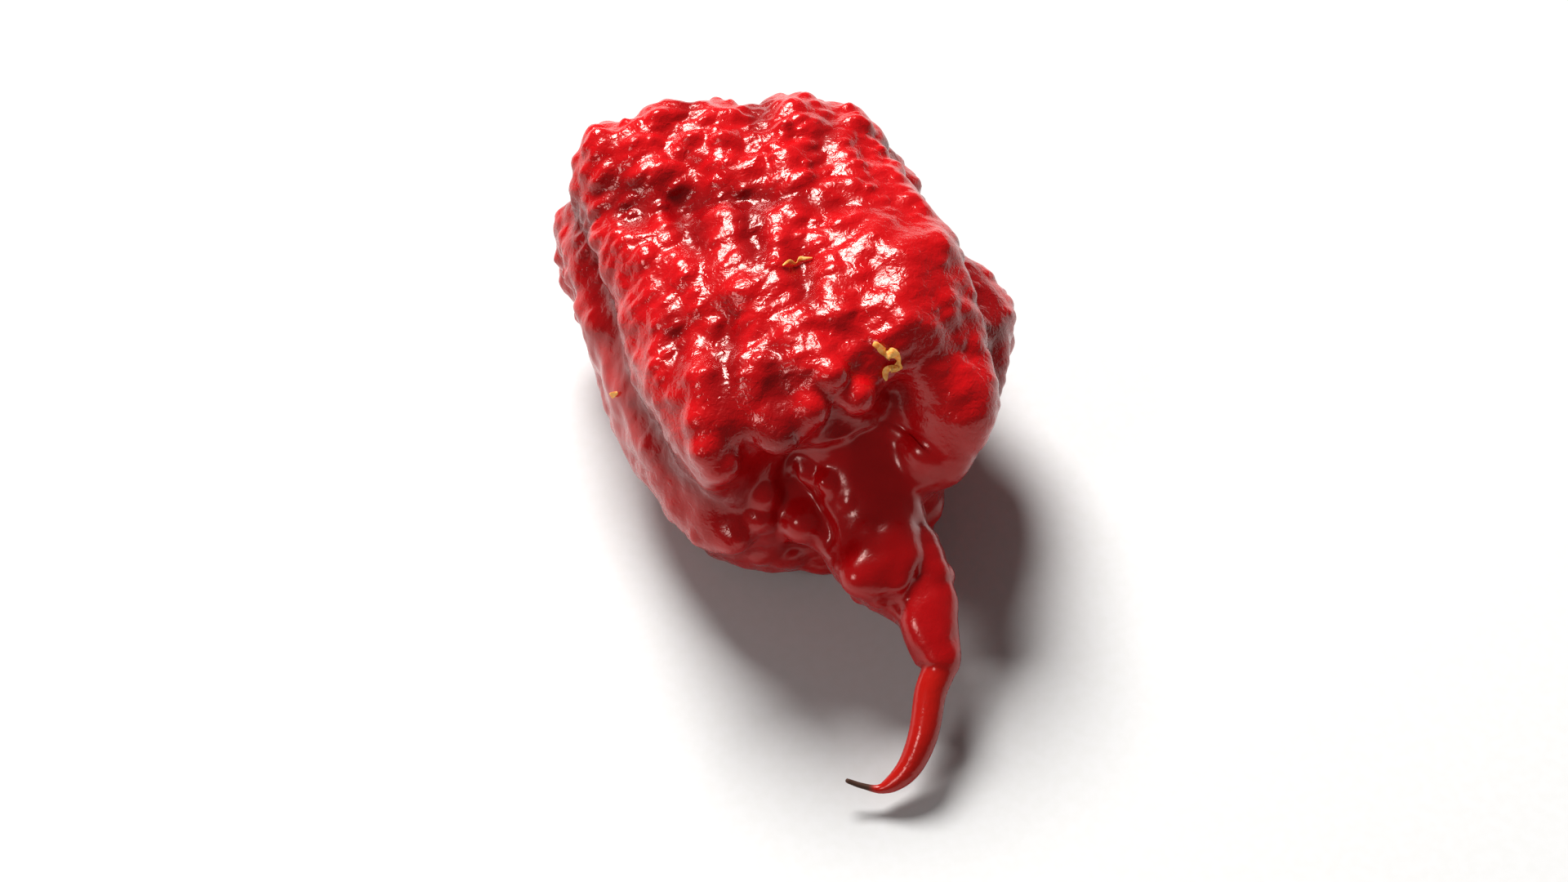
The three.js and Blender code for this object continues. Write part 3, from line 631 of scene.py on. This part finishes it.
def pepper_skin_material():
    """Ripe chilli skin: a thin, clear, waxy cuticle over wet red flesh, grown, not polished. The wax
    gives small sharp highlights, the flesh a deep saturated red that glows where it is thin."""
    material, tree, shader = new_material("ripe_waxy_skin")
    place = add_node(tree, "ShaderNodeTexCoord").outputs["Object"]
    read = {}
    for name in ("height", "furrow", "tail", "scar", "core", "dried", "wrinkled"):
        read[name] = add_node(tree, "ShaderNodeAttribute", {"attribute_name": name}).outputs["Fac"]
    mottle = {"Vector": place, "Scale": 1 / (MOTTLE_SIZE * MM), "Detail": 3.0}
    mottle = add_node(tree, "ShaderNodeTexNoise", {}, mottle).outputs["Fac"]
    colour = layered_colour(tree, "#AA050A", (
        (mottle, 0.35, 0.7, 1.0, "#B0080E"),
        # Painted highlight: the tops of the knobs, lumps and beads are a lighter red, as where light
        # catches them.
        (read["height"], 0.0, 0.5, 0.4, "#C40D13"),
        # Painted shade: the furrows and the crease are a darker red, as where shade falls in them.
        (read["furrow"], 0.1, 1.0, 0.75, "#700205"),
        (read["tail"], 0.0, 1.0, 1.0, "#AC120B"),
        (read["scar"], 0.0, 1.0, 1.0, "#8E7A42"),
        (read["core"], 0.0, 1.0, 0.8, "#5E4A26"),
        (read["dried"], 0.0, 1.0, 1.0, "#3A2418"),
    ))
    tree.links.new(colour, shader.inputs["Base Color"])
    wax = {"Vector": place, "Scale": 1 / (WAX_SIZE * MM), "Detail": 2.0}
    wax = add_node(tree, "ShaderNodeTexNoise", {}, wax).outputs["Fac"]
    smoothest, roughest = WAX_ROUGHNESS
    bounds = {"Value": wax, "From Min": 0.3, "From Max": 0.7, "To Min": smoothest, "To Max": roughest}
    rough = add_node(tree, "ShaderNodeMapRange", {}, bounds).outputs["Result"]
    for bare in (read["scar"], read["dried"]):
        inputs = {SHARE: bare, NUMBER_A: rough, NUMBER_B: DULL_ROUGHNESS}
        rough = add_node(tree, "ShaderNodeMix", {}, inputs).outputs[MIXED_NUMBER]
    tree.links.new(rough, shader.inputs["Roughness"])
    net = {"Vector": place, "Scale": 1 / (NET_SIZE * MM), "Detail": 2.0, "Distortion": 0.6}
    net = add_node(tree, "ShaderNodeTexNoise", {}, net).outputs["Fac"]
    both = {0: net, 1: read["wrinkled"]}
    net = add_node(tree, "ShaderNodeMath", {"operation": "MULTIPLY"}, both).outputs[0]
    folded = add_node(tree, "ShaderNodeBump", {}, {"Height": net, "Distance": NET_HEIGHT * MM})
    tree.links.new(folded.outputs["Normal"], shader.inputs["Normal"])
    shader.inputs["IOR"].default_value = WAX_IOR
    # The wax is faintly red itself, so it warms what it mirrors. The flesh scatters mostly red light.
    shader.inputs["Specular Tint"].default_value = (1.0, 0.72, 0.66, 1.0)
    shader.inputs["Subsurface Weight"].default_value = 0.12
    shader.inputs["Subsurface Radius"].default_value = (1.0, 0.18, 0.12)
    shader.inputs["Subsurface Scale"].default_value = SKIN_GLOW * MM
    return material


# The dried petals' real sizes.
STAIN_SIZE = 0.3  # creases and stains are about this wide,
CREASE_HEIGHT = 0.06  # and the creases this high
PETAL_GLOW = 0.3  # how far light spreads in them


def dried_flower_material():
    """A scrap of withered petal: papery and dry, faded to straw yellow and browner along its edges.
    It is dull, and light comes through it."""
    material, tree, shader = new_material("dried_petal")
    place = add_node(tree, "ShaderNodeTexCoord").outputs["Object"]
    edge = add_node(tree, "ShaderNodeAttribute", {"attribute_name": "edge"}).outputs["Fac"]
    stains = {"Vector": place, "Scale": 1 / (STAIN_SIZE * MM), "Detail": 3.0}
    stains = add_node(tree, "ShaderNodeTexNoise", {}, stains).outputs["Fac"]
    colour = layered_colour(tree, "#F6B860", (
        (stains, 0.4, 0.65, 0.8, "#F08C22"),
        (edge, 0.8, 1.0, 0.6, "#C46A1C"),
    ))
    tree.links.new(colour, shader.inputs["Base Color"])
    shader.inputs["Roughness"].default_value = 0.6
    shader.inputs["Subsurface Weight"].default_value = 0.3
    shader.inputs["Subsurface Radius"].default_value = (1.0, 0.6, 0.3)
    shader.inputs["Subsurface Scale"].default_value = PETAL_GLOW * MM
    creased = add_node(tree, "ShaderNodeBump", {}, {"Height": stains, "Distance": CREASE_HEIGHT * MM})
    tree.links.new(creased.outputs["Normal"], shader.inputs["Normal"])
    return material


FIBRE_SIZE = 1  # the card's tone varies over this length


def floor_material():
    """Matt pale card: pressed paper, so an even, dull tone, and no shine."""
    material, tree, shader = new_material("matt_white_card")
    place = add_node(tree, "ShaderNodeTexCoord").outputs["Object"]
    fibre = {"Vector": place, "Scale": 1 / (FIBRE_SIZE * MM), "Detail": 4.0}
    fibre = add_node(tree, "ShaderNodeTexNoise", {}, fibre).outputs["Fac"]
    tone = layered_colour(tree, "#C8C7C5", ((fibre, 0.3, 0.7, 1.0, "#CAC9C8"),))
    tree.links.new(tone, shader.inputs["Base Color"])
    shader.inputs["Roughness"].default_value = 0.9
    return material


# Where the skin changes. Pairs are the arc lengths that it changes between, unless they say otherwise.
NET_IN = (3, 10)  # the net of fine wrinkles fades in from the stem end
NECK_FROM = (-4, 3)  # the neck begins, measured from the nose,
NECK_SMOOTHER = 0.6  # and the net is weaker on it by this share
CALM_BELOW = (19, 24)  # heights: below them the net also fades on the smoother patches
TAIL_FROM = (29.5, 33)  # distances along: the tail's own red begins
SCAR_TO = (1.6, 2.1)  # the stem's scar ends,
CORE_TO = (1.3, 1.8)  # and so do its dark middle and rings,
SCAR_RINGS = 1.1  # which are this far apart
DRY_FROM = (-3.4, -2.2)  # the dry tip begins, measured from its end

points, faces, arc, angle, knobs = skin_mesh()
calm = (1 - calmness(points + MIDDLE)) * (1 - smooth(points[:, 2], *CALM_BELOW))
neck = smooth(arc - NOSE, *NECK_FROM)
skin_attributes = {
    # painted highlight: the knobs' height makes their tops a lighter red
    "height": knobs,
    # painted shade: the furrows' depth makes them a darker red
    "furrow": furrow_depth(arc, angle),
    "tail": smooth(along_at(arc), *TAIL_FROM),
    "scar": 1 - smooth(arc, *SCAR_TO),
    "core": (0.5 + 0.5 * np.cos(arc * 2 * np.pi / SCAR_RINGS)) * (1 - smooth(arc, *CORE_TO)),
    "dried": smooth(arc - LENGTH, *DRY_FROM),
    "wrinkled": (1 - calm) * (1 - NECK_SMOOTHER * neck) * smooth(arc, *NET_IN),
}
skin = add_piece("pepper_skin", points, faces, pepper_skin_material(), skin_attributes)
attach(skin, "root")
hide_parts("pepper")

petal = dried_flower_material()
for number, rows in enumerate(SCRAPS, 1):
    points, faces, edge = scrap_mesh(rows)
    scrap = add_piece(f"dried_petal_{number}", points, faces, petal, {"edge": edge})
    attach(scrap, "root")


# Floor, camera and light

FLOOR_HALF = 1500.0
corners = FLOOR_HALF * np.array([(-1, -1, 0), (1, -1, 0), (1, 1, 0), (-1, 1, 0)])
floor = add_piece("floor", corners, np.array([[0, 1, 2, 3]]), floor_material())


def direction(azimuth, elevation):
    """The unit vector from the pepper to something seen at this azimuth and elevation."""
    a, e = math.radians(azimuth), math.radians(elevation)
    return Vector((math.sin(a) * math.cos(e), -math.cos(a) * math.cos(e), math.sin(e)))


target = Vector((CAMERA_TARGET - MIDDLE) * MM)


def aimed(name, data, azimuth, elevation, distance):
    """An object that looks at the camera's target from a distance in millimetres."""
    item = bpy.data.objects.new(name, data)
    towards = direction(azimuth, elevation)
    item.location = target + towards * distance * MM
    item.rotation_mode = "QUATERNION"
    item.rotation_quaternion = (-towards).to_track_quat("-Z", "Y")
    bpy.context.scene.collection.objects.link(item)
    return item


def soft_light(name, azimuth, elevation, distance, size, power):
    """A round softbox, its size across in millimetres."""
    light = bpy.data.lights.new(name, "AREA")
    light.energy = power
    light.shape = "DISK"
    light.size = size * MM
    return aimed(name, light, azimuth, elevation, distance)


lens = bpy.data.cameras.new("camera")
lens.sensor_width = SENSOR_WIDTH
lens.lens = SENSOR_WIDTH * CAMERA_DISTANCE / VIEW_WIDTH
lens.clip_start = CAMERA_NEAREST * MM
bpy.context.scene.camera = aimed("camera", lens, CAMERA_AZIMUTH, CAMERA_ELEVATION, CAMERA_DISTANCE)

# The main light stands behind the pepper, and a small weak one to the left of the camera.
soft_light("key", azimuth=CAMERA_AZIMUTH - 157, elevation=52, distance=800, size=380, power=14)
soft_light("fill", azimuth=CAMERA_AZIMUTH - 50, elevation=40, distance=800, size=200, power=1.4)
ROOM_LIGHT = 0.12  # the strength of the even white light from all round
world = bpy.data.worlds.new("studio")
world.use_nodes = True
world.node_tree.nodes["Background"].inputs["Color"].default_value = (1, 1, 1, 1)
world.node_tree.nodes["Background"].inputs["Strength"].default_value = ROOM_LIGHT
bpy.context.scene.world = world
bpy.context.scene.view_settings.view_transform = "Standard"
